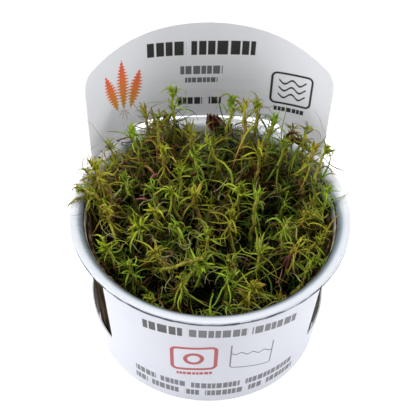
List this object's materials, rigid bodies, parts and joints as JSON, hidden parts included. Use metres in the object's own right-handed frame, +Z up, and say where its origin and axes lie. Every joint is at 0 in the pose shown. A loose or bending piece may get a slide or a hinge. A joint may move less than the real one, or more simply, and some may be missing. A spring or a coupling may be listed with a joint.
{
  "type": "potted aquarium stem plant",
  "caption": "Needle-leaved aquarium stem plants grown in a clear plastic cup, inside a white card sleeve with a tall arched back panel",
  "frame": {"origin": "centre of the cup's flat foot, on the surface it stands on", "axes": "+Z up along the cup's axis, +Y towards the sleeve's tall back panel, -Y towards the front band, +X to the right seen from the front"},
  "size_m": [0.08, 0.082, 0.0808],
  "materials": {
    "clear_cup": "clear, glossy, thin-walled",
    "white_card": "smooth white card with a satin coat and grey print",
    "rooted_gel": "dark moist gel full of roots",
    "leaf_olive": "waxy olive needles on yellow-green stems",
    "leaf_fresh": "waxy bright green needles on yellow-green stems",
    "leaf_bronze": "waxy bronze-green needles on tan stems",
    "dry_leaf": "dry, brown, crumpled"
  },
  "bodies": {
    "root": {"cup": "clear_cup", "sleeve": "white_card", "growing_gel": "rooted_gel", "dead_leaf": "dry_leaf", "shoot_01": "leaf_olive", "shoot_02": "leaf_fresh", "shoot_03": "leaf_bronze", "shoot_04": "leaf_olive", "shoot_05": "leaf_fresh", "shoot_06": "leaf_bronze", "shoot_07": "leaf_olive", "shoot_08": "leaf_fresh", "shoot_09": "leaf_bronze", "shoot_10": "leaf_olive", "shoot_11": "leaf_fresh", "shoot_12": "leaf_bronze", "shoot_13": "leaf_olive", "shoot_14": "leaf_fresh", "shoot_15": "leaf_bronze", "shoot_16": "leaf_olive", "shoot_17": "leaf_fresh", "shoot_18": "leaf_bronze", "shoot_19": "leaf_olive", "shoot_20": "leaf_fresh", "shoot_21": "leaf_bronze", "shoot_22": "leaf_olive", "shoot_23": "leaf_fresh", "shoot_24": "leaf_bronze", "shoot_25": "leaf_olive", "shoot_26": "leaf_fresh", "shoot_27": "leaf_bronze", "shoot_28": "leaf_olive", "shoot_29": "leaf_fresh", "shoot_30": "leaf_bronze", "shoot_31": "leaf_olive", "shoot_32": "leaf_fresh", "shoot_33": "leaf_bronze", "shoot_34": "leaf_olive", "shoot_35": "leaf_fresh", "shoot_36": "leaf_bronze", "shoot_37": "leaf_olive", "shoot_38": "leaf_fresh", "shoot_39": "leaf_bronze", "shoot_40": "leaf_olive", "shoot_41": "leaf_fresh", "shoot_42": "leaf_bronze", "shoot_43": "leaf_olive", "shoot_44": "leaf_fresh", "shoot_45": "leaf_bronze", "shoot_46": "leaf_olive", "shoot_47": "leaf_fresh", "shoot_48": "leaf_bronze", "shoot_49": "leaf_olive", "shoot_50": "leaf_fresh", "shoot_51": "leaf_bronze", "shoot_52": "leaf_olive", "shoot_53": "leaf_fresh", "shoot_54": "leaf_bronze"}
  },
  "joints": []
}
